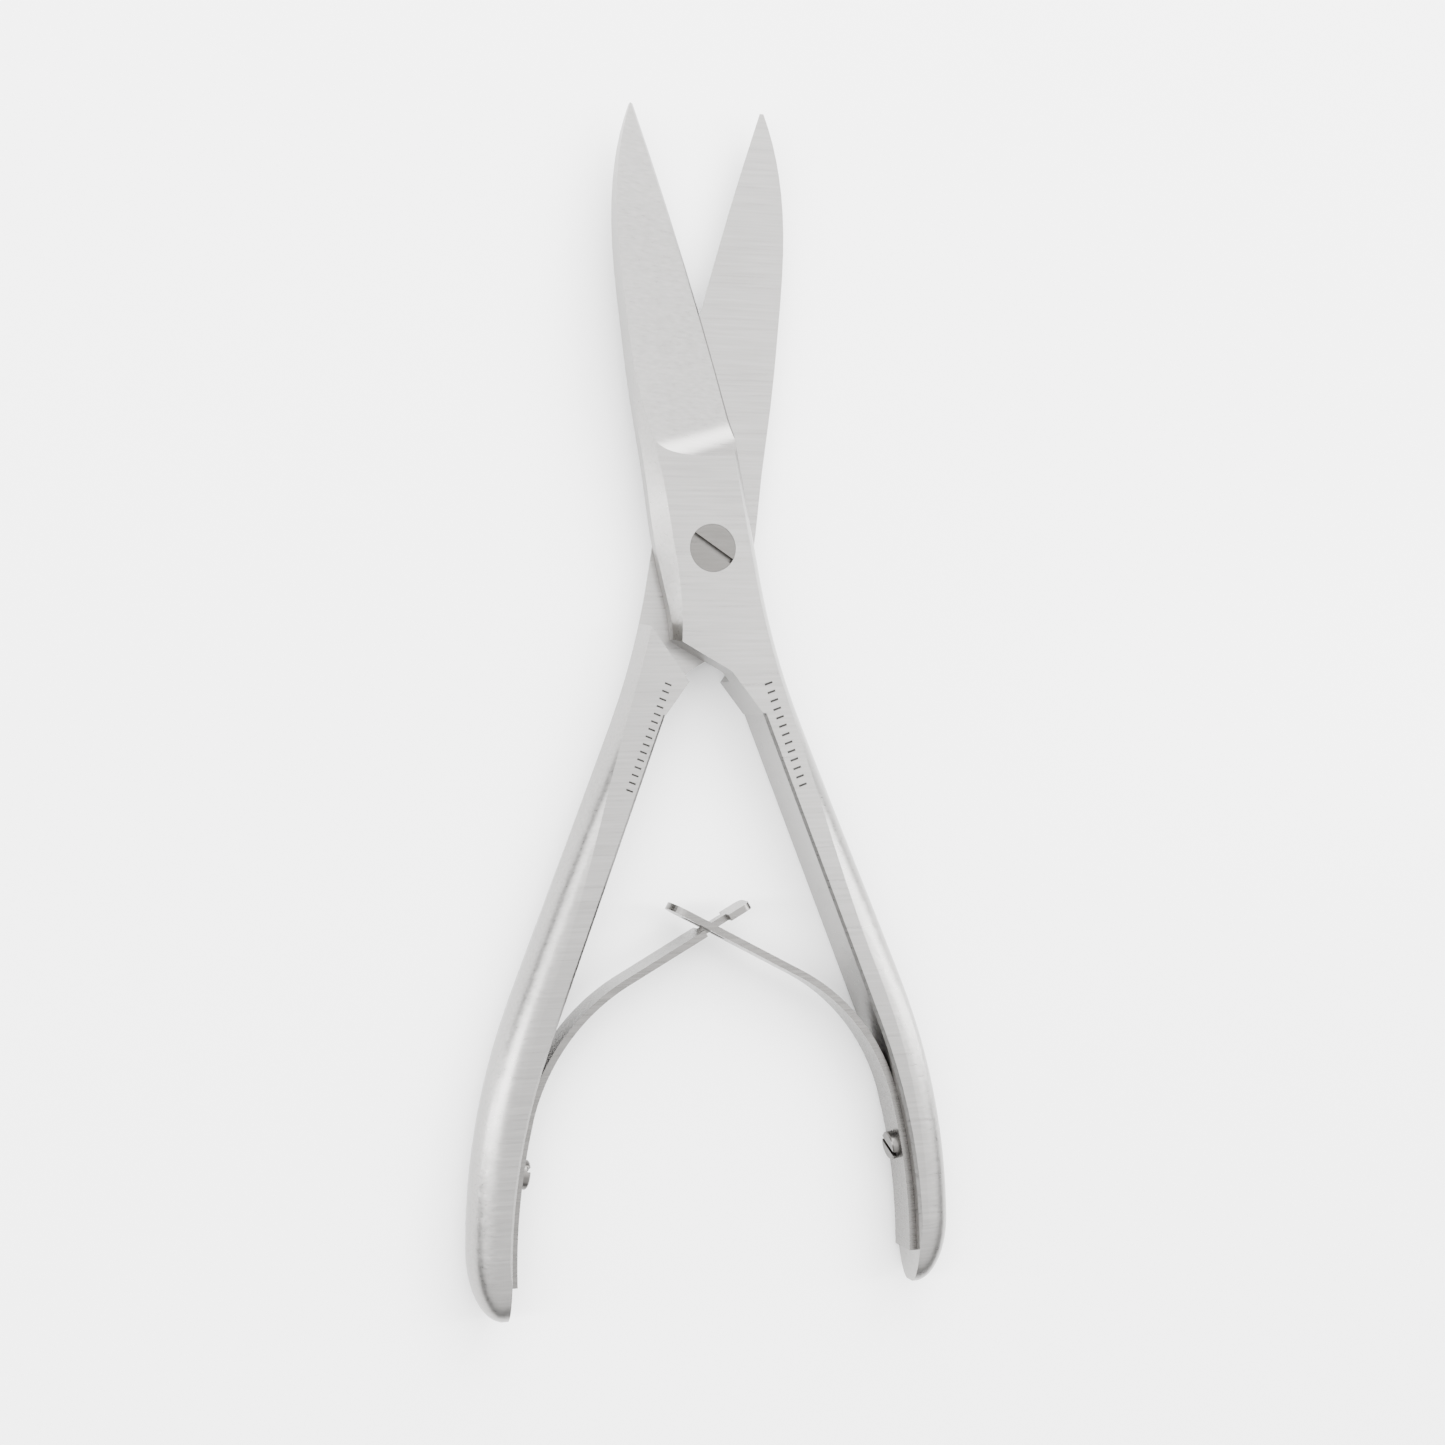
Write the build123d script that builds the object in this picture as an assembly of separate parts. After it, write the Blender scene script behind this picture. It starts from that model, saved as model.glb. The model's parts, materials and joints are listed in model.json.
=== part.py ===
"""Spring-handled thread snips: two lapped levers on a slotted pivot screw, kept open by two leaf springs.

Millimetres. The pieces are drawn upright: Z runs from the feet of the handles to the blade tips, X is
the width and Y the thickness, with the front face towards -Y. The rear lever is the front lever turned
half a turn about Z. The finished pieces are then laid on their back, as snips rest: the front face looks
up along +Z, the blades point along +Y, and the origin lies on the ground under the middle of the length.
"""
import os
from math import acos, asin, atan2, cos, hypot, radians, sin, sqrt, tan

from build123d import *

# --- Driving dimensions ---------------------------------------------------------------------------------
PIVOT_Z = 122.2            # height of the pivot over the feet
BLADE_LENGTH = 72.0        # pivot to blade tips
HALF_SPREAD = 34.7         # centre plane to the inner face of each handle, at its foot
HALF_DEPTH = 5.0           # half of the thickness of the handles and of the lapped joint
LAP_GAP = 0.03             # each lapped face stands this far from the mid plane

# --- Handles --------------------------------------------------------------------------------------------
INNER_RADIUS = 100.0        # bend of the inner face above the foot
INNER_FOOT_Z = 7.6          # the inner face is upright below this height
OUTER_RADIUS = 107.0
OUTER_FOOT_Z = 11.0
HANDLE_WIDTH = 6.3          # across the upright end of the handle
NECK_LEAN = radians(9.9)    # lean of the outer side beside the pivot
NECK_RADIUS = 120.0         # bend of the outer side between the neck and the handle
NECK_HALF_WIDTH = 8.8       # centre plane to the outer side, level with the pivot
NECK_DROP = 16.8            # the neck line meets the handle line this far below the pivot
FOOT_TIP_X = 0.6            # the tip of the foot stands this far outside the inner face
FOOT_TIP_SHARE = 0.15       # size of the tip's blunt end, as a share of the foot
FOOT_TIP_DEPTH = 0.1        # depth the foot keeps however small its section gets
SQUARE_DROP = 18.0          # the outer side is square down to this far below the pivot
ROUND_RUN = 50.0            # and fully rounded this far below that
ROUND_RIDGE = 4.9           # ridges of the rounded outer side, measured inwards from its crest
SQUARE_RIDGE_FRONT = 2.3    # ridges of the square outer side, front and rear
SQUARE_RIDGE_REAR = 0.8
SQUARE_BULGE = 0.35         # fullness of the outer side where it is square, from 0, flat, to 1
ROUND_BULGE = 0.97          # and where it is rounded
SECTION_STEP = 7.5          # spacing of the sections, which has to be even
FOOT_SECTIONS = 7
EDGE_BREAK = 0.45           # chamfer along the edges of the inner face

# --- Lapped joint, measured from the pivot --------------------------------------------------------------
BOSS_CORNER = (-6.0, -14.7)     # lower corner of the boss
BOSS_INNER = (3.0, -19.9)       # where the lower edge of the boss meets the handle
BOSS_ROUND = 2.5
BUMP = (4.3, -21.5)             # inner corner of the handle, behind the lap
INNER_TOP = (8.36, -26.9)       # upper end of the straight stretch of the inner face
SHOULDER_TURN = (-35.0, -49.6)  # directions from the pivot between which the shoulder is round
SHOULDER_CLEARANCE = 0.5        # between the boss corner and the other lever's shoulder
BEVEL_LAND = 2.0                # height of the square edge left under the side bevel
BEVEL_WIDTHS = [-0.3, 0.7, 1.9, 2.3, 1.9, 1.2, 0.6]   # at the last seven points of the spine
SPINE_LOW = [(-10.3, 12.0), (-8.9, 1.2), (-7.5, -5.5), (-6.5, -10.0)]

# --- Blades ---------------------------------------------------------------------------------------------
BLADE_ROOT = 16.5           # height over the pivot where the cutting edge starts
EDGE_CROSSING = 0.53        # the two cutting edges cross at this share of the blade length
BLADE_BULGE = 14.8          # greatest distance of the spine from the centre plane
TIP_OFFSET = 11.6           # distance of the tips from the centre plane
TIP_WIDTH = 0.6
EDGE_THICKNESS = 0.75       # blade thickness just behind the cutting edge
FACE_SLOPE = 0.29           # thickness gained for each millimetre away from the cutting edge
ROOT_RADIUS = 8.0           # hollow where the blade face runs out into the boss
ROOT_RUN = 5.8              # the hollow starts this far above the blade root
EDGE_BEVEL = 0.5            # small second bevel of the cutting edge
ROOT_CLEAR = (2.2, -8.0)    # the boss outline leaves the outer side here, from the edge root

# --- Pivot screw ----------------------------------------------------------------------------------------
PIVOT_HEAD_D = 7.7
PIVOT_HEAD_H = 1.7
PIVOT_SHANK_D = 5.0
PIVOT_SLOT_W = 0.9
PIVOT_SLOT_DEPTH = 0.9
PIVOT_SLOT_ANGLE = 34.0
PIVOT_END_RECESS = 0.2      # the screw stops this far inside the back face
RUNNING_CLEARANCE = 0.05    # radial, round everything that turns

# --- Leaf springs ---------------------------------------------------------------------------------------
LEAF_WIDTH = 6.0
LEAF_THICKNESS = 1.15
LEAF_END_Z = 5.6            # lower end of each leaf
LEAF_END_BEVEL = 0.7
LEAF_LIFT_Z = 31.6          # height where the leaf leaves the handle
LEAF_RADIUS = 33.8          # bend of the leaf above that, on its outer side
LEAF_LEAN = radians(61.5)   # lean of the straight stretch that crosses the other leaf
FLEX_RISE = 9.1             # from there up to the axis that stands for the bending
FLEX_GAP = 0.05             # left between the clamped foot and the moving leaf
SLOT_SIDE_ROOM = 0.35       # between the neck and each side of the slot
SLOT_BEFORE = 3.2           # slot ends, measured along the leaf from the crossing
SLOT_AFTER = 4.6
SLOTTED_TIP = 8.0
NECK_WIDTH = 1.9
NECK_ROOM = 0.45            # between the crossing leaf and the shoulders beside the neck
NECK_END = 3.3
HEAD_WIDTH = 5.0
HEAD_END = 7.5
HEAD_ROUND = 1.2
SHOULDER_ROUND = 0.5        # corners of the strap beside the neck
NECK_ROOT = 0.5             # the neck runs this far into the strap and the head

# --- Spring screws --------------------------------------------------------------------------------------
SCREW_Z = 23.1
SCREW_HEAD_D = 4.7
SCREW_HEAD_H = 1.3
SCREW_SHANK_D = 2.6
SCREW_DEPTH = 4.6           # thread length inside the handle
SCREW_SLOT_W = 0.8
SCREW_SLOT_DEPTH = 0.7
SCREW_SLOT_TURN = 60.0
SCREW_HEAD_BREAK = 0.2
SCREW_TIP_ROOM = 0.5        # left between the screw and the bottom of its hole
SEAT_CLEARANCE = 0.002      # under the rim of the screw head, on the curved leaf
SCREW_HOLE_CLEARANCE = 0.1

FAR = 60.0                  # reach of cutting tools past the part
TIP_OVERRUN = 21.6          # the blade's grinding tool runs this far past the tip
GRIND_BACK = 10.0           # and this far back into the flank
ROOT_MID_TURN = radians(45)  # middle of the quarter round at the blade's root
SIDE_REACH = 24.0           # the side body reaches this far past the centre plane
OVERRUN = 1.0               # cutters run this far past the faces they cut
HAIR = 0.02


def from_pivot(x, z):
    """Place a point that is given from the pivot."""
    return (x, PIVOT_Z + z)


def polar(centre, radius, angle):
    """Point on a circle in X and Z."""
    return (centre[0] + radius * cos(angle), centre[1] + radius * sin(angle))


def upright(face, y):
    """Stand a sketch drawn in X and Z on the plane at the given Y."""
    return Pos(0, y, 0) * (Plane.XZ * face)


def prism(edges, y_from, y_to):
    """Extrude a closed outline, drawn in X and Z, along Y."""
    face = upright(make_face(Curve() + edges), y_from)
    return extrude(face, amount=y_to - y_from, dir=(0, 1, 0))


# --- Handle lines ---------------------------------------------------------------------------------------
def inner_centre():
    """Centre of the bend of the inner face."""
    return (HALF_SPREAD - INNER_RADIUS, INNER_FOOT_Z)


def tangent_lean(point, centre, radius):
    """Lean of the line that comes down from a point and touches the outer side of a circle."""
    dx, dz = point[0] - centre[0], point[1] - centre[1]
    return atan2(dz, dx) - acos(radius / hypot(dx, dz))


def inner_lean():
    """Lean of the straight stretch of the inner face."""
    return tangent_lean(from_pivot(*INNER_TOP), inner_centre(), INNER_RADIUS)


def inner_face_point(lean):
    """Point on the bend of the inner face where it leans by the given angle."""
    return polar(inner_centre(), INNER_RADIUS, lean)


def outer_x(z):
    """Distance of the outer side from the centre plane at a height, at mid depth."""
    foot_x = HALF_SPREAD + HANDLE_WIDTH
    if z < OUTER_FOOT_Z:
        return foot_x
    # The neck line and the handle line meet at a corner that an arc rounds off.
    corner = from_pivot(NECK_HALF_WIDTH + NECK_DROP * tan(NECK_LEAN), -NECK_DROP)
    lean = tangent_lean(corner, (foot_x - OUTER_RADIUS, OUTER_FOOT_Z), OUTER_RADIUS)
    if z < OUTER_FOOT_Z + OUTER_RADIUS * sin(lean):
        return foot_x - OUTER_RADIUS + sqrt(OUTER_RADIUS ** 2 - (z - OUTER_FOOT_Z) ** 2)
    reach = NECK_RADIUS * tan((lean - NECK_LEAN) / 2)
    if z < corner[1] - reach * cos(lean):
        return corner[0] + (corner[1] - z) * tan(lean)
    arc_top = (corner[0] - reach * sin(NECK_LEAN), corner[1] + reach * cos(NECK_LEAN))
    if z > arc_top[1]:
        return corner[0] - (z - corner[1]) * tan(NECK_LEAN)
    centre_x = arc_top[0] + NECK_RADIUS * cos(NECK_LEAN)
    centre_z = arc_top[1] + NECK_RADIUS * sin(NECK_LEAN)
    return centre_x - sqrt(NECK_RADIUS ** 2 - (z - centre_z) ** 2)


def side_section(z, shrink=1.0, stock=0.0):
    """Section of the outer side at a height: square beside the joint and rounded lower down."""
    share = min(1.0, max(0.0, (z - PIVOT_Z + SQUARE_DROP + ROUND_RUN) / ROUND_RUN))
    square = share * share * (3 - 2 * share)
    front = (ROUND_RIDGE + (SQUARE_RIDGE_FRONT - ROUND_RIDGE) * square) * shrink
    rear = (ROUND_RIDGE + (SQUARE_RIDGE_REAR - ROUND_RIDGE) * square) * shrink
    bulge = ROUND_BULGE + (SQUARE_BULGE - ROUND_BULGE) * square
    half = HALF_DEPTH * (FOOT_TIP_DEPTH + (1 - FOOT_TIP_DEPTH) * shrink)
    tip_x = HALF_SPREAD + FOOT_TIP_X
    x = tip_x + (outer_x(z) - tip_x) * shrink
    front_ridge = (x - front, -half)
    rear_ridge = (x - rear, half)
    front_pull = (x - front / 2 * (1 - bulge), -half / 2 * (1 + bulge))
    rear_pull = (x - rear / 2 * (1 - bulge), half / 2 * (1 + bulge))
    deep = half + stock
    back = [(-SIDE_REACH, deep), (-SIDE_REACH, -deep)]
    if stock:
        back = [(x - rear, deep), *back, (x - front, -deep)]
    outline = [
        Polyline(rear_ridge, *back, front_ridge),
        Bezier(front_ridge, front_pull, (x, 0)),
        Bezier((x, 0), rear_pull, rear_ridge),
    ]
    return Pos(0, 0, z) * make_face(Curve() + outline)


def side_body():
    """Everything inside the outer side and between the front and back faces."""
    top = PIVOT_Z + BLADE_LENGTH + OVERRUN
    count = round((top - OUTER_FOOT_Z) / SECTION_STEP)
    heights = [OUTER_FOOT_Z + (top - OUTER_FOOT_Z) * i / count for i in range(count + 1)]
    # The stock in front and behind is planed off, which leaves true flats.
    upper = loft([side_section(z, stock=OVERRUN) for z in heights])
    upper = upper & Box(4 * FAR, 2 * HALF_DEPTH, 4 * top)
    foot = []
    last_turn = acos(FOOT_TIP_SHARE)
    for i in range(FOOT_SECTIONS):
        turn = last_turn * i / (FOOT_SECTIONS - 1)
        drop = OUTER_FOOT_Z * sin(turn) / sin(last_turn)
        foot.append(side_section(OUTER_FOOT_Z - drop, cos(turn)))
    return upper + loft(foot)


# --- Levers ---------------------------------------------------------------------------------------------
def inner_line(outwards=0.0):
    """Inner face of the handle from the foot upwards, or a line that far outside it."""
    lean = inner_lean()
    radius = INNER_RADIUS + outwards
    top = from_pivot(INNER_TOP[0] + outwards * cos(lean), INNER_TOP[1] + outwards * sin(lean))
    start = polar(inner_centre(), radius, 0.0)
    bend_top = polar(inner_centre(), radius, lean)
    return [
        Line((start[0], -OVERRUN), start),
        ThreePointArc(start, polar(inner_centre(), radius, lean / 2), bend_top),
        Line(bend_top, top),
    ]


def spine_points():
    """Spine of the blade and outer side of the boss, from the tip down to the boss corner."""
    shares = [(TIP_OFFSET, 1.0), (BLADE_BULGE - 1.05, 0.895), (BLADE_BULGE, 0.74)]
    shares += [(BLADE_BULGE - 1.1, 0.515), (BLADE_BULGE - 2.9, 0.31)]
    upper = [from_pivot(-x, share * BLADE_LENGTH) for x, share in shares]
    return upper + [from_pivot(*p) for p in SPINE_LOW] + [from_pivot(*BOSS_CORNER)]


def edge_root():
    """Lower end of the cutting edge, on the outer side of the boss."""
    z = PIVOT_Z + BLADE_ROOT
    return (outer_x(z), z)


def front_half():
    """Boss, blade and front half of the handle."""
    tip = from_pivot(-TIP_OFFSET, BLADE_LENGTH)
    tip_end = (tip[0] + TIP_WIDTH, tip[1])
    crossing = from_pivot(0, EDGE_CROSSING * BLADE_LENGTH)
    root = edge_root()
    clear = (root[0] + ROOT_CLEAR[0], root[1] + ROOT_CLEAR[1])
    corner = from_pivot(*BOSS_CORNER)
    lower_edge = FilletPolyline(corner, from_pivot(*BOSS_INNER), from_pivot(*INNER_TOP), radius=BOSS_ROUND)
    edges = [
        Spline(spine_points()),
        lower_edge,
        *inner_line(),
        Polyline((HALF_SPREAD, -OVERRUN), (FAR, -OVERRUN), (FAR, clear[1]), clear, root),
        ThreePointArc(root, crossing, tip_end),
        Line(tip_end, tip),
    ]
    return prism(edges, -HALF_DEPTH - OVERRUN, -LAP_GAP)


def rear_half():
    """Rear half of the handle, up to the shoulder that faces the other lever's boss."""
    radius = hypot(*BOSS_CORNER) + SHOULDER_CLEARANCE
    turn_from, turn_to = (radians(a) for a in SHOULDER_TURN)
    ends = [from_pivot(radius * cos(a), radius * sin(a)) for a in (turn_from, turn_to)]
    middle = (turn_from + turn_to) / 2
    edges = [
        Polyline((HALF_SPREAD, -OVERRUN), (FAR, -OVERRUN), (FAR, ends[0][1]), ends[0]),
        ThreePointArc(ends[0], from_pivot(radius * cos(middle), radius * sin(middle)), ends[1]),
        Polyline(ends[1], from_pivot(*BUMP), from_pivot(*INNER_TOP)),
        *inner_line(),
    ]
    return prism(edges, -LAP_GAP, HALF_DEPTH + OVERRUN)


def side_bevel():
    """Cutter for the bevel between the boss face and the spine side."""
    low = spine_points()[-len(BEVEL_WIDTHS):]
    low[-1] = (low[-1][0], low[-1][1] - OVERRUN)
    outline = [(x + min(width, 0) - HAIR, z) for (x, z), width in zip(low, BEVEL_WIDTHS)]
    ridge = [(x + width, z) for (x, z), width in zip(low, BEVEL_WIDTHS)]
    faces = []
    for points, y in ((outline, -BEVEL_LAND), (ridge, -HALF_DEPTH - HAIR)):
        back = Polyline(points[-1], (-FAR, points[-1][1]), (-FAR, points[0][1]), points[0])
        faces.append(upright(make_face(Curve() + [Spline(points), back]), y))
    return loft(faces, ruled=True)


def blade_grind():
    """Cutter for the blade face: it slopes up from the cutting edge and runs out in a hollow at the root."""
    root = edge_root()
    tip = from_pivot(-TIP_OFFSET + TIP_WIDTH, BLADE_LENGTH)
    along = Vector(tip[0] - root[0], 0, tip[1] - root[1]).normalized()
    level = Vector(-along.Z, 0, along.X)
    rise = (level + Vector(0, -FACE_SLOPE, 0)).normalized()
    face = Plane(origin=(root[0], -EDGE_THICKNESS, root[1]), x_dir=along, z_dir=rise)
    sign = 1 if face.y_dir.Y < 0 else -1
    reach = BLADE_LENGTH + TIP_OVERRUN
    hollow = (
        ROOT_RUN - ROOT_RADIUS * sin(ROOT_MID_TURN),
        sign * ROOT_RADIUS * (1 - cos(ROOT_MID_TURN)),
    )
    foot, side = (ROOT_RUN, 0), (ROOT_RUN - ROOT_RADIUS, sign * ROOT_RADIUS)
    profile = make_face(Curve() + [
        ThreePointArc(side, hollow, foot),
        Polyline(foot, (reach, 0), (reach, side[1]), side),
    ])
    profile = face * profile
    return extrude(profile, amount=FAR / 2, dir=rise) + extrude(profile, amount=GRIND_BACK, dir=rise * -1)


def inner_edge_break(side):
    """Cutter for the chamfer along the inner face, at the front (side -1) or the back (side 1)."""
    faces = []
    for outwards, depth in ((0.0, HALF_DEPTH - EDGE_BREAK), (EDGE_BREAK + HAIR, HALF_DEPTH + HAIR)):
        line = inner_line(outwards)
        foot, top = line[0] @ 0, line[-1] @ 1
        back = Polyline((top.X, top.Y), (0, top.Y), (0, foot.Y), (foot.X, foot.Y))
        faces.append(upright(make_face(Curve() + [*line, back]), side * depth))
    return loft(faces, ruled=True)


def bevel_cutting_edge(lever):
    """Grind the small second bevel of the cutting edge."""
    x, z = from_pivot(0, EDGE_CROSSING * BLADE_LENGTH)
    cutting_edge = lever.edges().sort_by_distance((x, -EDGE_THICKNESS, z))[0]
    return chamfer(cutting_edge, EDGE_BEVEL)


def y_cylinder(radius, y_from, y_to):
    """Cylinder on the pivot axis."""
    disc = upright(Pos(0, PIVOT_Z) * Circle(radius), y_from)
    return extrude(disc, amount=y_to - y_from, dir=(0, 1, 0))


def lever_body():
    """One lever with its screw hole for the leaf spring, before the pivot is bored."""
    body = side_body() & (front_half() + rear_half())
    body = body - side_bevel() - blade_grind() - inner_edge_break(-1) - inner_edge_break(1)
    return bevel_cutting_edge(body) - screw_hole()


def front_lever():
    """Lever that turns on the pivot screw, with a recess for its head."""
    seat = -HALF_DEPTH + PIVOT_HEAD_H + RUNNING_CLEARANCE
    head_bore = y_cylinder(PIVOT_HEAD_D / 2 + RUNNING_CLEARANCE, -HALF_DEPTH - OVERRUN, seat)
    bore = y_cylinder(PIVOT_SHANK_D / 2 + RUNNING_CLEARANCE, -HALF_DEPTH, HALF_DEPTH)
    return lever_body() - head_bore - bore


def rear_lever():
    """Lever that holds the pivot screw by its thread."""
    return mirrored(lever_body()) - y_cylinder(PIVOT_SHANK_D / 2, -HALF_DEPTH, HALF_DEPTH + OVERRUN)


def pivot_screw():
    """Screw with a flush slotted head in the front face and a plain end just inside the back face."""
    head_face = -HALF_DEPTH + LAP_GAP
    head_end = -HALF_DEPTH + PIVOT_HEAD_H
    head = y_cylinder(PIVOT_HEAD_D / 2, head_face, head_end)
    shank = y_cylinder(PIVOT_SHANK_D / 2, head_end, HALF_DEPTH - PIVOT_END_RECESS)
    blade_slot = Rotation(0, PIVOT_SLOT_ANGLE, 0) * Box(FAR, 2 * PIVOT_SLOT_DEPTH, PIVOT_SLOT_W)
    return head + shank - Pos(0, head_face, PIVOT_Z) * blade_slot


# --- Leaf springs ---------------------------------------------------------------------------------------
def lift_lean():
    """Lean of the leaf where it leaves the handle."""
    return asin((LEAF_LIFT_Z - INNER_FOOT_Z) / INNER_RADIUS)


def bend_centre():
    """Centre of the leaf's bend, which runs on from the bend of the handle."""
    x, z = inner_face_point(lift_lean())
    return (x - LEAF_RADIUS * cos(lift_lean()), z - LEAF_RADIUS * sin(lift_lean()))


def flex_lean():
    """Lean of the leaf at the axis that stands for its bending."""
    return asin((LEAF_LIFT_Z + FLEX_RISE - bend_centre()[1]) / (LEAF_RADIUS - LEAF_THICKNESS / 2))


def flex_axis():
    """Axis, on the middle line of the leaf, that stands for its bending."""
    return polar(bend_centre(), LEAF_RADIUS - LEAF_THICKNESS / 2, flex_lean())


def straight_start():
    """Start of the straight stretch, on the middle line of the leaf."""
    return polar(bend_centre(), LEAF_RADIUS - LEAF_THICKNESS / 2, LEAF_LEAN)


def crossing_distance():
    """Length of the straight stretch from the bend to the centre plane, where the leaves cross."""
    return straight_start()[0] / sin(LEAF_LEAN)


def arc_strip(centre, radius, start, end):
    """Strip of the leaf's thickness, inside an arc, extruded to the leaf's width."""
    inner = radius - LEAF_THICKNESS
    middle = (start + end) / 2
    edges = [
        ThreePointArc(
            polar(centre, radius, start), polar(centre, radius, middle), polar(centre, radius, end)
        ),
        Line(polar(centre, radius, end), polar(centre, inner, end)),
        ThreePointArc(polar(centre, inner, end), polar(centre, inner, middle), polar(centre, inner, start)),
        Line(polar(centre, inner, start), polar(centre, radius, start)),
    ]
    return prism(edges, -LEAF_WIDTH / 2, LEAF_WIDTH / 2)


def leaf_end():
    """Upright lower end of the clamped leaf, bevelled down to the handle."""
    inner_x = HALF_SPREAD - LEAF_THICKNESS
    bevel = LEAF_END_Z + LEAF_END_BEVEL
    outline = [
        (HALF_SPREAD, INNER_FOOT_Z), (inner_x, INNER_FOOT_Z), (inner_x, bevel),
        (inner_x + LEAF_END_BEVEL, LEAF_END_Z), (HALF_SPREAD, LEAF_END_Z), (HALF_SPREAD, INNER_FOOT_Z),
    ]
    return prism([Polyline(outline)], -LEAF_WIDTH / 2, LEAF_WIDTH / 2)


def leaf_foot():
    """Clamped part of a leaf spring, from its lower end to the bending axis."""
    stop = flex_lean() - (LEAF_THICKNESS / 2 + FLEX_GAP) / (LEAF_RADIUS - LEAF_THICKNESS / 2)
    seat = arc_strip(inner_centre(), INNER_RADIUS, 0.0, lift_lean())
    bend = arc_strip(bend_centre(), LEAF_RADIUS, lift_lean(), stop)
    hole = screw_plane() * Cylinder(SCREW_SHANK_D / 2 + SCREW_HOLE_CLEARANCE, 2 * (LEAF_THICKNESS + OVERRUN))
    return leaf_end() + seat + bend - hole


def leaf_blade(plan):
    """Moving part of a leaf spring: the rounded root, the bend and the straight stretch with its plan."""
    x, z = flex_axis()
    round_end = Pos(x, z) * CenterArc((0, 0), LEAF_THICKNESS / 2, 0, 360)
    root = prism([round_end], -LEAF_WIDTH / 2, LEAF_WIDTH / 2)
    bend = arc_strip(bend_centre(), LEAF_RADIUS, flex_lean(), LEAF_LEAN)
    x, z = straight_start()
    plane = Plane(origin=(x, 0, z), x_dir=(-sin(LEAF_LEAN), 0, cos(LEAF_LEAN)),
                  z_dir=(cos(LEAF_LEAN), 0, sin(LEAF_LEAN)))
    straight = extrude(plane * plan, amount=LEAF_THICKNESS / 2, both=True)
    return root + bend + straight


def slotted_plan():
    """Straight stretch of the slotted leaf, seen square on: a rounded tip and a slot at the crossing."""
    cross = crossing_distance()
    length = cross + SLOTTED_TIP
    half = LEAF_WIDTH / 2
    outline = make_face(Curve() + [
        Polyline((length - half, half), (0, half), (0, -half), (length - half, -half)),
        ThreePointArc((length - half, -half), (length, 0), (length - half, half)),
    ])
    slot = SlotOverall(SLOT_BEFORE + SLOT_AFTER, NECK_WIDTH + 2 * SLOT_SIDE_ROOM)
    return outline - Pos(cross + (SLOT_AFTER - SLOT_BEFORE) / 2, 0) * slot


def tongue_plan():
    """Straight stretch of the tongue leaf, seen square on: shoulders, a narrow neck and a cross head."""
    cross = crossing_distance()
    neck_start = LEAF_THICKNESS + NECK_ROOM
    strap = Pos((cross - neck_start) / 2, 0) * Rectangle(cross - neck_start, LEAF_WIDTH)
    strap = fillet(strap.vertices().group_by(Axis.X)[-1], SHOULDER_ROUND)
    neck_length = neck_start + NECK_END + 2 * NECK_ROOT
    neck = Pos(cross + (NECK_END - neck_start) / 2, 0) * Rectangle(neck_length, NECK_WIDTH)
    head = RectangleRounded(HEAD_END - NECK_END, HEAD_WIDTH, HEAD_ROUND)
    head = Pos(cross + (NECK_END + HEAD_END) / 2, 0) * head
    return strap + neck + head


# --- Spring screws --------------------------------------------------------------------------------------
def screw_plane():
    """Plane on the inner face of the handle under the spring screw, facing away from the handle."""
    lean = asin((SCREW_Z - INNER_FOOT_Z) / INNER_RADIUS)
    x, z = inner_face_point(lean)
    return Plane(origin=(x, 0, z), x_dir=(0, 1, 0), z_dir=(-cos(lean), 0, -sin(lean)))


def screw_hole():
    """Blind hole in the handle for the thread of the spring screw."""
    depth = SCREW_DEPTH + SCREW_TIP_ROOM
    hole = Cylinder(SCREW_SHANK_D / 2, depth + OVERRUN)
    return screw_plane() * (Pos(0, 0, (OVERRUN - depth) / 2) * hole)


def spring_screw():
    """Slotted cheese-head screw that clamps the foot of a leaf to the handle."""
    rim_rise = SCREW_HEAD_D ** 2 / (8 * (INNER_RADIUS - LEAF_THICKNESS))
    seat = LEAF_THICKNESS + rim_rise + SEAT_CLEARANCE
    head = Pos(0, 0, seat + SCREW_HEAD_H / 2) * Cylinder(SCREW_HEAD_D / 2, SCREW_HEAD_H)
    head = chamfer(head.edges().group_by(Axis.Z)[-1], SCREW_HEAD_BREAK)
    shank = Pos(0, 0, (seat - SCREW_DEPTH) / 2) * Cylinder(SCREW_SHANK_D / 2, seat + SCREW_DEPTH)
    slot = Pos(0, 0, seat + SCREW_HEAD_H) * Box(SCREW_SLOT_W, 2 * SCREW_HEAD_D, 2 * SCREW_SLOT_DEPTH)
    return screw_plane() * (head + shank - Rot(0, 0, SCREW_SLOT_TURN) * slot)


# --- Assembly -------------------------------------------------------------------------------------------
def mirrored(piece):
    """Turn a piece of the front lever half a turn about Z, onto the rear lever."""
    return Rot(0, 0, 180) * piece


def laid_down(piece):
    """Lay a piece on its back, with the middle of the length over the origin."""
    return Pos(0, -(PIVOT_Z + BLADE_LENGTH) / 2, HALF_DEPTH) * Rot(-90, 0, 0) * piece


PARTS = {
    "front_lever": front_lever(),
    "rear_lever": rear_lever(),
    "pivot_screw": pivot_screw(),
    "slotted_spring_foot": leaf_foot(),
    "slotted_spring_leaf": leaf_blade(slotted_plan()),
    "slotted_spring_screw": spring_screw(),
    "tongue_spring_foot": mirrored(leaf_foot()),
    "tongue_spring_leaf": mirrored(leaf_blade(tongue_plan())),
    "tongue_spring_screw": mirrored(spring_screw()),
}

os.makedirs("parts", exist_ok=True)
for name, shape in PARTS.items():
    export_step(laid_down(shape), f"parts/{name}.step")
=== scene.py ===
"""Looks of the spring-handled thread snips: brushed steel, one-piece leaf springs, etched ticks, studio."""
import json
from math import asin, cos, radians, sin, sqrt
import bmesh
import bpy
from mathutils import Matrix, Vector
from mathutils.bvhtree import BVHTree


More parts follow.
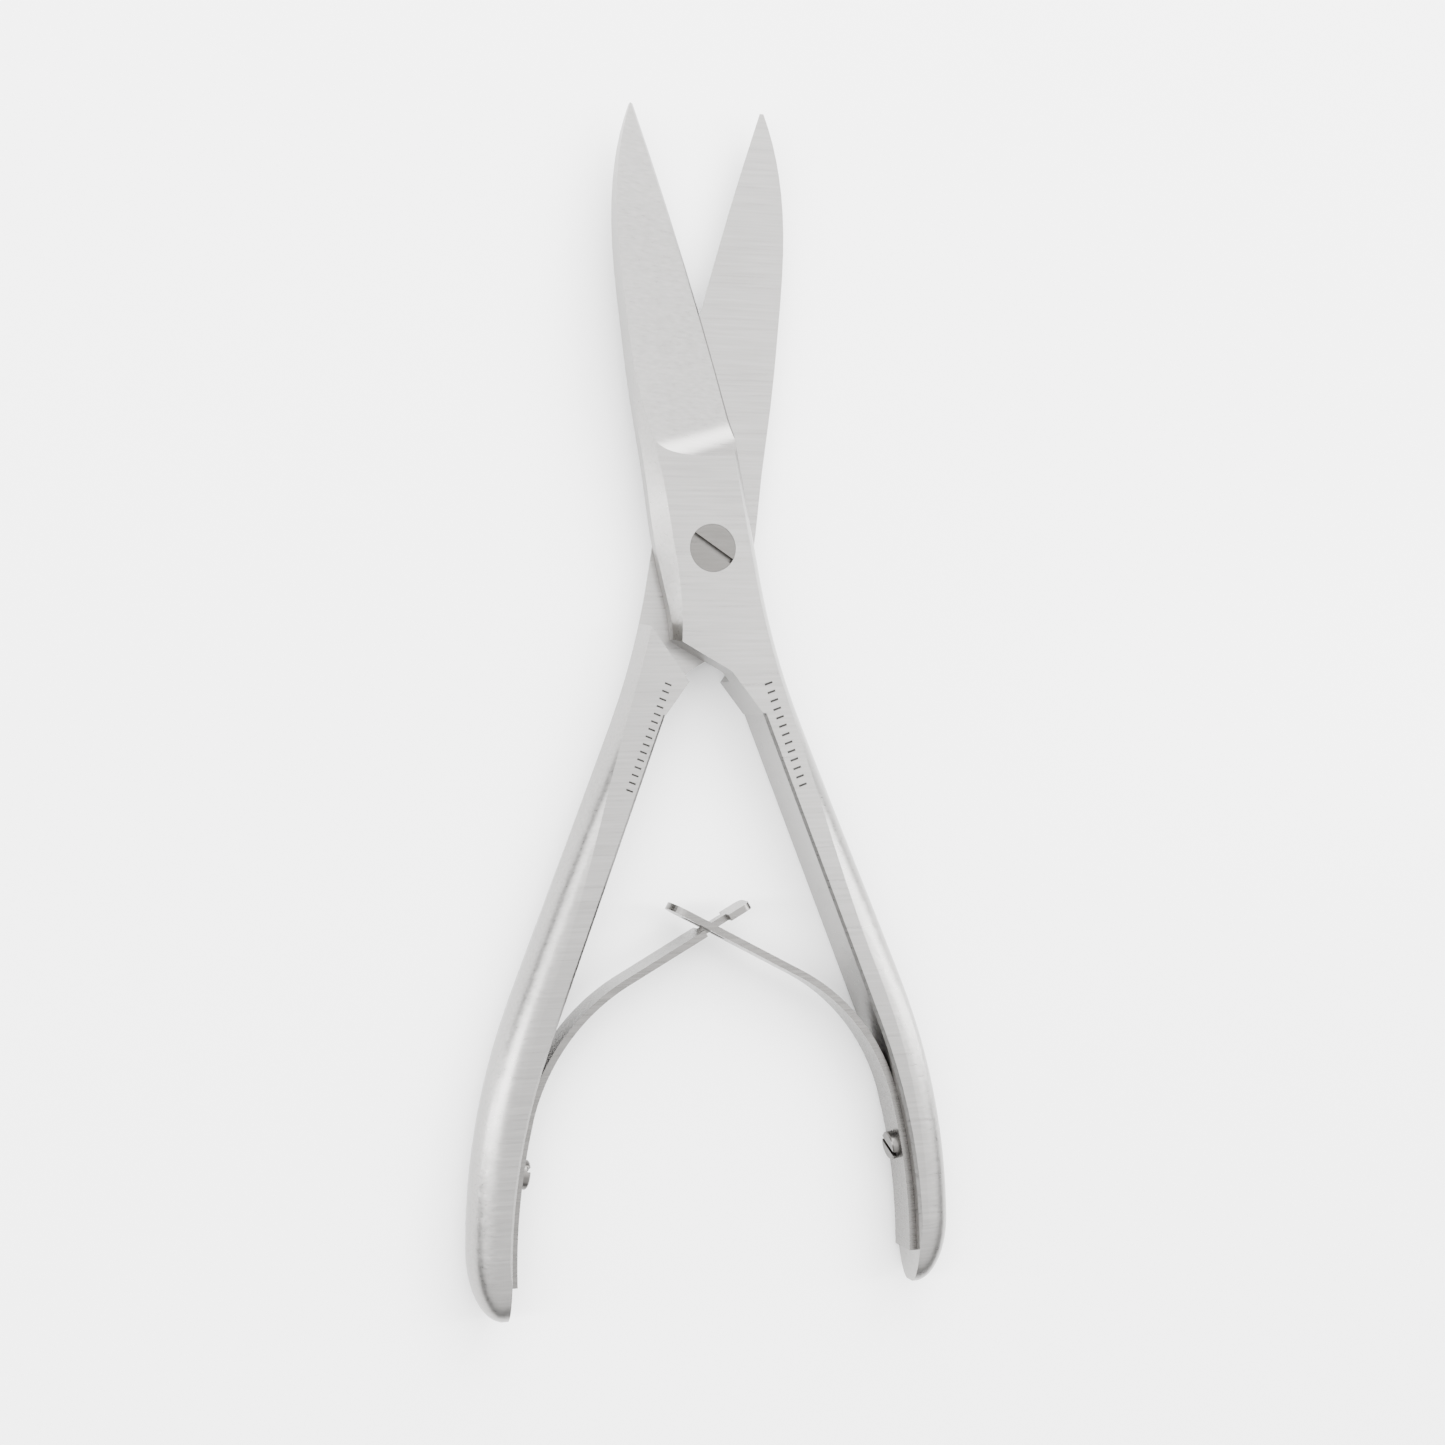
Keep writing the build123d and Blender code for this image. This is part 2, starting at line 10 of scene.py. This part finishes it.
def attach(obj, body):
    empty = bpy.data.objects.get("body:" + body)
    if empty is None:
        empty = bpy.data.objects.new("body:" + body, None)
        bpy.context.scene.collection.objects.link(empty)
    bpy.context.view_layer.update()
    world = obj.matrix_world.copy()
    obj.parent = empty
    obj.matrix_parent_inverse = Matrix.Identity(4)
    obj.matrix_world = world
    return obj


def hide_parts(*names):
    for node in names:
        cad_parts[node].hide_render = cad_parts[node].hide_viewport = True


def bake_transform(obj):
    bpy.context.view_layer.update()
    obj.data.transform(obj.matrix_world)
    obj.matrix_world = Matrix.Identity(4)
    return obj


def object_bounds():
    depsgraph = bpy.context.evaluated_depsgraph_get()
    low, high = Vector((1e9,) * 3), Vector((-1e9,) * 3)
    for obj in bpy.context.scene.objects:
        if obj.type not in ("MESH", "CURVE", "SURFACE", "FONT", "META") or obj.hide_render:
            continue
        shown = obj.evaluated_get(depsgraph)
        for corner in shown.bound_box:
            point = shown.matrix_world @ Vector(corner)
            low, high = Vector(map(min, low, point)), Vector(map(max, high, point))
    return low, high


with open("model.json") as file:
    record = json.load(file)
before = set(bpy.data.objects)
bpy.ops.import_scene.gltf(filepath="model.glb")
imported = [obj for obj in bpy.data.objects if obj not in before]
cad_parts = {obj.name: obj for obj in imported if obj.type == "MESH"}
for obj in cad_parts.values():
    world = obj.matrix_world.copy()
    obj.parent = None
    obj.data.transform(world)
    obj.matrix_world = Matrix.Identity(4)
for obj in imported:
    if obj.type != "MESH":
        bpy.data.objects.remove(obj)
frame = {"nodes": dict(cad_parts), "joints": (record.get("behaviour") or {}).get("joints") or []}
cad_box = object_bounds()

MM = 0.001

# --- Places read from the frame --------------------------------------------------------------------------
JOINTS = {joint["name"]: joint for joint in frame["joints"]}
FLEX = Vector(JOINTS["slotted_leaf_bend"]["pos_m"]) / MM
MID_Z = FLEX.z             # the springs run along the middle of the thickness
FEET_Y = cad_box[0].y / MM  # the feet of the handles

# --- Leaf spring sizes, in millimetres -------------------------------------------------------------------
HALF_SPREAD = 34.7         # centre line to the inner face of the handle, at its foot
INNER_RADIUS = 100.0       # bend of that face
INNER_FOOT = 7.6           # the face runs straight up to here
LEAF_END = 5.6             # lower end of the leaf
LEAF_LIFT = 31.6           # the leaf leaves the handle here
LEAF_RADIUS = 33.8         # bend of the leaf above that, on its outer side
LEAF_LEAN = radians(61.5)  # lean of the straight stretch
LEAF_WIDTH = 6.0
LEAF_THICKNESS = 1.15
SLOTTED_TIP = 8.0          # tip of the slotted leaf past the crossing
SLOT_BEFORE = 3.2          # ends of the slot before and past the crossing
SLOT_AFTER = 4.6
NECK_WIDTH = 1.9
SLOT_SIDE_ROOM = 0.35
NECK_BEFORE = 1.6          # ends of the neck before and past the crossing
NECK_AFTER = 3.3
HEAD_WIDTH = 5.0
HEAD_END = 7.5             # end of the head past the crossing
HEAD_ROUND = 1.2
SEAT_STAND = 0.03          # keeps the clamped leaf off the facets of the handle's mesh

# --- Mesh steps ------------------------------------------------------------------------------------------
SEAT_STEPS = 16            # along the clamped stretch
BEND_STEPS = 40            # along the free bend
ROUND_STEPS = 10           # around a rounded end
ROUND_STEP = 10            # degrees for each of them
PLAN_SHIFT = 0.01          # half of the length of a sharp change of width
MIN_HALF_WIDTH = 0.01      # a rounded end stops here
MERGE_DISTANCE = 1e-7      # in metres

# --- Etched ticks, in millimetres ------------------------------------------------------------------------
TICK_DEPTH = 0.02          # each stands this far out of the face and reaches as far into it
OVER_PART = 20.0           # height over the part from which its face is looked for
BAR_FACES = ((0, 1, 2, 3), (7, 6, 5, 4), (0, 4, 5, 1), (1, 5, 6, 2), (2, 6, 7, 3), (3, 7, 4, 0))

# --- Steel -----------------------------------------------------------------------------------------------
STREAK_DETAIL = 5.0
STREAK_ROUGHNESS = 0.6
CLOUD_SCALE = 60.0         # slow variation under the streaks
CLOUD_DETAIL = 3.0
CLOUD_SHARE = 0.3
TONE_FROM, TONE_TO = 0.32, 0.68     # part of the noise that spreads over the two tones
SMOOTHER, ROUGHER = 0.08, 0.10      # spread of the roughness to either side
BUMP_DISTANCE = 0.00003    # in metres

# --- Studio ----------------------------------------------------------------------------------------------
FLOOR_HALF = 4.0           # in metres
FLOOR_TONES = 0.94, 0.96
FLOOR_GRAIN = 30.0
FLOOR_ROUGHNESS = 0.3
SKY_LOW, SKY_HIGH = (0.0, 0.20), (0.95, 0.92)   # height and brightness
SKY_BETWEEN = ((0.18, 0.20), (0.32, 0.09), (0.52, 0.80), (0.70, 1.0))
SKY_FALLOFF = (-0.16, 0.20, 3.0, 6.2)   # brighter towards the blades: from, to, strength there and there
LIGHTS = (                 # name, place, size in metres, power
    ("left_strip", (-0.70, 0.0, 0.42), (0.10, 1.1), 11.0),
    ("right_strip", (0.75, 0.0, 0.40), (0.09, 1.1), 9.0),
    ("top_end", (0.15, 0.70, 0.38), (0.9, 0.45), 20.0),
)
LENS = 56.8
CLIP_START = 0.01
CAMERA_YAW = radians(19.0)
CAMERA_ROLL = radians(0.84)
CAMERA_PLACE = (-118.5, 94.05, 352.6)   # in millimetres from the feet, at mid thickness


def new_object(name, data):
    """A new object in the scene."""
    thing = bpy.data.objects.new(name, data)
    bpy.context.scene.collection.objects.link(thing)
    return thing


# --- Materials -------------------------------------------------------------------------------------------
def steel(name, colour, roughness, grain, grain_bump=0.25, mottle=0.10):
    """Brushed steel: streaks stretched along one direction vary the colour, the roughness and the bump."""
    material = bpy.data.materials.new(name)
    material.use_nodes = True
    nodes, links = material.node_tree.nodes, material.node_tree.links
    shader = nodes["Principled BSDF"]
    shader.inputs["Metallic"].default_value = 1.0
    place = nodes.new("ShaderNodeTexCoord")
    stretch = nodes.new("ShaderNodeMapping")
    stretch.inputs["Scale"].default_value = grain
    links.new(place.outputs["Object"], stretch.inputs["Vector"])
    streaks = nodes.new("ShaderNodeTexNoise")
    streaks.inputs["Scale"].default_value = 1.0
    streaks.inputs["Detail"].default_value = STREAK_DETAIL
    streaks.inputs["Roughness"].default_value = STREAK_ROUGHNESS
    links.new(stretch.outputs["Vector"], streaks.inputs["Vector"])
    cloud = nodes.new("ShaderNodeTexNoise")
    cloud.inputs["Scale"].default_value = CLOUD_SCALE
    cloud.inputs["Detail"].default_value = CLOUD_DETAIL
    links.new(place.outputs["Object"], cloud.inputs["Vector"])
    both = nodes.new("ShaderNodeMix")
    both.data_type = "FLOAT"
    both.inputs["Factor"].default_value = CLOUD_SHARE
    links.new(streaks.outputs["Fac"], both.inputs[2])
    links.new(cloud.outputs["Fac"], both.inputs[3])
    ramp = nodes.new("ShaderNodeValToRGB")
    ramp.color_ramp.elements[0].position = TONE_FROM
    ramp.color_ramp.elements[1].position = TONE_TO
    ramp.color_ramp.elements[0].color = [c * (1 - mottle) for c in colour] + [1.0]
    ramp.color_ramp.elements[1].color = [min(1.0, c * (1 + mottle)) for c in colour] + [1.0]
    links.new(both.outputs[0], ramp.inputs["Fac"])
    links.new(ramp.outputs["Color"], shader.inputs["Base Color"])
    rough = nodes.new("ShaderNodeMapRange")
    rough.inputs["To Min"].default_value = roughness - SMOOTHER
    rough.inputs["To Max"].default_value = roughness + ROUGHER
    links.new(streaks.outputs["Fac"], rough.inputs["Value"])
    links.new(rough.outputs["Result"], shader.inputs["Roughness"])
    bump = nodes.new("ShaderNodeBump")
    bump.inputs["Strength"].default_value = grain_bump
    bump.inputs["Distance"].default_value = BUMP_DISTANCE
    links.new(streaks.outputs["Fac"], bump.inputs["Height"])
    links.new(bump.outputs["Normal"], shader.inputs["Normal"])
    return material


CROSS_GRAIN = (70.0, 2200.0, 2200.0)   # streaks across the tool, fine along its length
LEVER = steel("lever_steel", (0.255, 0.2495, 0.243), 0.29, CROSS_GRAIN, grain_bump=0.14, mottle=0.13)
SPRING = steel("spring_steel", (0.165, 0.16, 0.154), 0.27, CROSS_GRAIN, grain_bump=0.12, mottle=0.13)
SCREW = steel("screw_steel", (0.105, 0.101, 0.096), 0.30, (200.0, 2400.0, 2400.0), grain_bump=0.12)
ETCH = steel("etched_mark", (0.03, 0.029, 0.028), 0.55, (900.0, 900.0, 900.0), mottle=0.2)


def paint(name, material):
    """Give a CAD node its material."""
    slots = frame["nodes"][name].data.materials
    slots.clear()
    slots.append(material)


for name in ("front_lever", "rear_lever"):
    paint(name, LEVER)
for name in ("pivot_screw", "slotted_spring_screw", "tongue_spring_screw"):
    paint(name, SCREW)


# --- Leaf springs ----------------------------------------------------------------------------------------
def arc_points(centre, radius, start, end, count):
    """Points (x, y) on an arc with the outward normal at each, angles from the X axis."""
    for step in range(1, count + 1):
        turn = start + (end - start) * step / count
        yield (centre[0] + radius * cos(turn), centre[1] + radius * sin(turn)), (cos(turn), sin(turn))


def leaf_line():
    """Middle line of a leaf up to its straight stretch, measured from the feet, with normals."""
    half = LEAF_THICKNESS / 2
    lift = asin((LEAF_LIFT - INNER_FOOT) / INNER_RADIUS)
    seat = (HALF_SPREAD - INNER_RADIUS, INNER_FOOT)
    apart = INNER_RADIUS - LEAF_RADIUS
    bend = (seat[0] + apart * cos(lift), seat[1] + apart * sin(lift))
    edge = HALF_SPREAD - half - SEAT_STAND
    line = [((edge, LEAF_END), (1.0, 0.0)), ((edge, INNER_FOOT), (1.0, 0.0))]
    line += arc_points(seat, INNER_RADIUS - half - SEAT_STAND, 0.0, lift, SEAT_STEPS)
    line += arc_points(bend, LEAF_RADIUS - half, lift, LEAF_LEAN, BEND_STEPS)
    return line


def crossing_run(line):
    """Length of the straight stretch from the bend to the centre line."""
    return line[-1][0][0] / sin(LEAF_LEAN)


def straight_line(line, stations):
    """The middle line continued straight, at distances from the end of the bend."""
    (x, y), normal = line[-1]
    return [((x - sin(LEAF_LEAN) * far, y + cos(LEAF_LEAN) * far), normal) for far in stations]


def round_off(half_width, left, radius):
    """Half width near an end with rounded corners, the given length before the end."""
    if left >= radius:
        return half_width
    return max(MIN_HALF_WIDTH, half_width - radius + sqrt(max(0.0, radius ** 2 - (radius - left) ** 2)))


def slotted_bands(far, cross):
    """Half width of the slotted leaf and of the slot in it, at a distance along the straight stretch."""
    slot = NECK_WIDTH / 2 + SLOT_SIDE_ROOM
    inside = cross - SLOT_BEFORE < far < cross + SLOT_AFTER
    return round_off(LEAF_WIDTH / 2, cross + SLOTTED_TIP - far, LEAF_WIDTH / 2), slot if inside else 0.0


def tongue_bands(far, cross):
    """Half width of the tongue leaf: strap, neck, then the head."""
    if far < cross - NECK_BEFORE:
        return LEAF_WIDTH / 2, 0.0
    if far < cross + NECK_AFTER:
        return NECK_WIDTH / 2, 0.0
    return round_off(HEAD_WIDTH / 2, cross + HEAD_END - far, HEAD_ROUND), 0.0


def plan_stations(cross, marks, end, radius):
    """Distances along the straight stretch, doubled at each sharp change of the plan."""
    fine = [end - radius * (1 - cos(radians(ROUND_STEP * step))) for step in range(ROUND_STEPS)]
    sharp = [mark + shift for mark in marks for shift in (-PLAN_SHIFT, PLAN_SHIFT)]
    return sorted({round(value, 4) for value in [cross / 2] + sharp + fine})


def strip_mesh(name, rows):
    """Closed strip from rows of (point, normal, half width, half slot)."""
    vertices, faces = [], []
    for (x, y), (nx, ny), half, slot in rows:
        for out in (1, -1):
            for across in (-half, -slot, slot, half):
                side = (x + nx * out * LEAF_THICKNESS / 2, y + ny * out * LEAF_THICKNESS / 2 + FEET_Y)
                vertices.append(Vector((*side, MID_Z + across)) * MM)
    for row in range(len(rows) - 1):
        near, far = row * 8, row * 8 + 8
        for left in (0, 1, 2):
            if left == 1 and rows[row][3] > 0 and rows[row + 1][3] > 0:
                faces.append((near + 1, far + 1, far + 5, near + 5))
                faces.append((near + 2, near + 6, far + 6, far + 2))
                continue
            faces.append((near + left, near + left + 1, far + left + 1, far + left))
            faces.append((near + left + 4, far + left + 4, far + left + 5, near + left + 5))
        faces.append((near, far, far + 4, near + 4))
        faces.append((near + 3, near + 7, far + 7, far + 3))
    for row in range(1, len(rows) - 1):
        slots = [rows[step][3] > 0 for step in (row - 1, row, row + 1)]
        if slots[1] and slots[0] != slots[2]:
            wall = row * 8
            faces.append((wall + 1, wall + 2, wall + 6, wall + 5))
    last = 8 * (len(rows) - 1)
    faces += [(left, left + 4, left + 5, left + 1) for left in (0, 1, 2)]
    faces += [(last + left, last + left + 1, last + left + 5, last + left + 4) for left in (0, 1, 2)]
    mesh = bpy.data.meshes.new(name)
    mesh.from_pydata(vertices, [], faces)
    shape = bmesh.new()
    shape.from_mesh(mesh)
    bmesh.ops.remove_doubles(shape, verts=shape.verts, dist=MERGE_DISTANCE)
    bmesh.ops.dissolve_degenerate(shape, edges=shape.edges, dist=MERGE_DISTANCE)
    bmesh.ops.recalc_face_normals(shape, faces=shape.faces)
    shape.to_mesh(mesh)
    shape.free()
    mesh.materials.append(SPRING)
    return mesh


def leaf_spring(name, plan, marks, end, radius, turn, nodes):
    """One continuous leaf spring that bends between its clamped foot and its moving leaf."""
    line = leaf_line()
    cross = crossing_run(line)
    stations = plan_stations(cross, [cross + mark for mark in marks], cross + end, radius)
    rows = [(point, normal, LEAF_WIDTH / 2, 0.0) for point, normal in line]
    for far, (point, normal) in zip(stations, straight_line(line, stations)):
        rows.append((point, normal, *plan(far, cross)))
    mesh = strip_mesh(name, rows)
    if turn:
        mesh.transform(Matrix.Diagonal((-1, 1, 1, 1)))
        mesh.flip_normals()
    spring = new_object(name, mesh)
    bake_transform(spring)
    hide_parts(*nodes)


leaf_spring("slotted_spring", slotted_bands, (-SLOT_BEFORE, SLOT_AFTER), SLOTTED_TIP, LEAF_WIDTH / 2, False,
            ("slotted_spring_foot", "slotted_spring_leaf"))
leaf_spring("tongue_spring", tongue_bands, (-NECK_BEFORE, NECK_AFTER), HEAD_END, HEAD_ROUND, True,
            ("tongue_spring_foot", "tongue_spring_leaf"))


# --- Etched ticks ----------------------------------------------------------------------------------------
def face_points(tree, x, y):
    """Points just over and just under the upper face of a lever at a place, in metres."""
    where, normal, _, _ = tree.ray_cast(Vector((x, y, OVER_PART)) * MM, Vector((0, 0, -1)))
    if where is None:
        raise ValueError(f"no face under {x}, {y}")
    return where + normal * TICK_DEPTH * MM, where - normal * TICK_DEPTH * MM


def tick_row(name, node_name, body, start, end, count, length, width):
    """A row of plain etched bars that lies on the upper face of a lever."""
    data = frame["nodes"][node_name].data
    tree = BVHTree.FromPolygons([v.co for v in data.vertices], [list(f.vertices) for f in data.polygons])
    vertices, faces = [], []
    start, end = Vector(start), Vector(end)
    along = (end - start).normalized()
    across = Vector((along.y, -along.x))
    for index in range(count):
        centre = start.lerp(end, index / (count - 1))
        first = len(vertices)
        upper, lower = [], []
        for side, step in ((-1, -1), (1, -1), (1, 1), (-1, 1)):
            spot = centre + across * side * length / 2 + along * step * width / 2
            over, under = face_points(tree, spot.x, spot.y)
            upper.append(over)
            lower.append(under)
        vertices += upper + lower
        faces += [tuple(first + corner for corner in face) for face in BAR_FACES]
    mesh = bpy.data.meshes.new(name)
    mesh.from_pydata(vertices, [], faces)
    mesh.materials.append(ETCH)
    piece = new_object(name, mesh)
    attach(piece, body)


tick_row("rear_ticks", "rear_lever", "rear", (-7.9, 3.2), (-14.6, -13.7), 15, 1.2, 0.3)
tick_row("front_ticks", "front_lever", "front", (9.2, 3.2), (14.9, -13.4), 13, 1.4, 0.35)


# --- Floor, light and camera -----------------------------------------------------------------------------
def area_light(name, place, size, power):
    """Rectangular light that faces the middle of the snips."""
    light = bpy.data.lights.new(name, "AREA")
    light.shape = "RECTANGLE"
    light.size, light.size_y = size
    light.energy = power
    lamp = new_object(name, light)
    lamp.location = place
    lamp.rotation_mode = "QUATERNION"
    lamp.rotation_quaternion = Vector(place).to_track_quat("Z", "Y")


def floor():
    """Plain pale floor."""
    mesh = bpy.data.meshes.new("floor")
    corners = [(x * FLOOR_HALF, y * FLOOR_HALF, 0) for x, y in ((-1, -1), (1, -1), (1, 1), (-1, 1))]
    mesh.from_pydata(corners, [], [(0, 1, 2, 3)])
    material = bpy.data.materials.new("floor_white")
    material.use_nodes = True
    nodes, links = material.node_tree.nodes, material.node_tree.links
    shader = nodes["Principled BSDF"]
    speck = nodes.new("ShaderNodeTexNoise")
    speck.inputs["Scale"].default_value = FLOOR_GRAIN
    tone = nodes.new("ShaderNodeMapRange")
    tone.inputs["To Min"].default_value, tone.inputs["To Max"].default_value = FLOOR_TONES
    links.new(speck.outputs["Fac"], tone.inputs["Value"])
    links.new(tone.outputs["Result"], shader.inputs["Base Color"])
    shader.inputs["Roughness"].default_value = FLOOR_ROUGHNESS
    mesh.materials.append(material)
    plane = new_object("floor", mesh)


def grey(level):
    return (level, level, level, 1)


def studio():
    """Soft sky, darker low down and brighter towards the blades, with three area lights."""
    world = bpy.data.worlds.new("studio")
    world.use_nodes = True
    nodes, links = world.node_tree.nodes, world.node_tree.links
    sky = nodes["Background"]
    direction = nodes.new("ShaderNodeTexCoord")
    split = nodes.new("ShaderNodeSeparateXYZ")
    ramp = nodes.new("ShaderNodeValToRGB")
    for element, (height, level) in zip(ramp.color_ramp.elements, (SKY_LOW, SKY_HIGH)):
        element.position = height
        element.color = grey(level)
    for height, level in SKY_BETWEEN:
        ramp.color_ramp.elements.new(height).color = grey(level)
    links.new(direction.outputs["Generated"], split.inputs["Vector"])
    links.new(split.outputs["Z"], ramp.inputs["Fac"])
    links.new(ramp.outputs["Color"], sky.inputs["Color"])
    falloff = nodes.new("ShaderNodeMapRange")
    for socket, value in zip(("From Min", "From Max", "To Min", "To Max"), SKY_FALLOFF):
        falloff.inputs[socket].default_value = value
    links.new(split.outputs["Y"], falloff.inputs["Value"])
    links.new(falloff.outputs["Result"], sky.inputs["Strength"])
    bpy.context.scene.world = world
    for light in LIGHTS:
        area_light(*light)


def camera():
    """Camera over the lying snips, a little to their left, with the blades up the picture."""
    data = bpy.data.cameras.new("camera")
    data.lens = LENS
    data.clip_start = CLIP_START
    forward = Vector((sin(CAMERA_YAW), 0, -cos(CAMERA_YAW)))
    right = Vector((cos(CAMERA_YAW), 0, sin(CAMERA_YAW)))
    turned_right = right * cos(CAMERA_ROLL) + Vector((0, -1, 0)) * sin(CAMERA_ROLL)
    up = turned_right.cross(forward)
    view = new_object("camera", data)
    view.matrix_world = Matrix((turned_right, up, -forward)).transposed().to_4x4()
    view.location = (Vector(CAMERA_PLACE) + Vector((0, FEET_Y, MID_Z))) * MM
    bpy.context.scene.camera = view


floor()
studio()
camera()
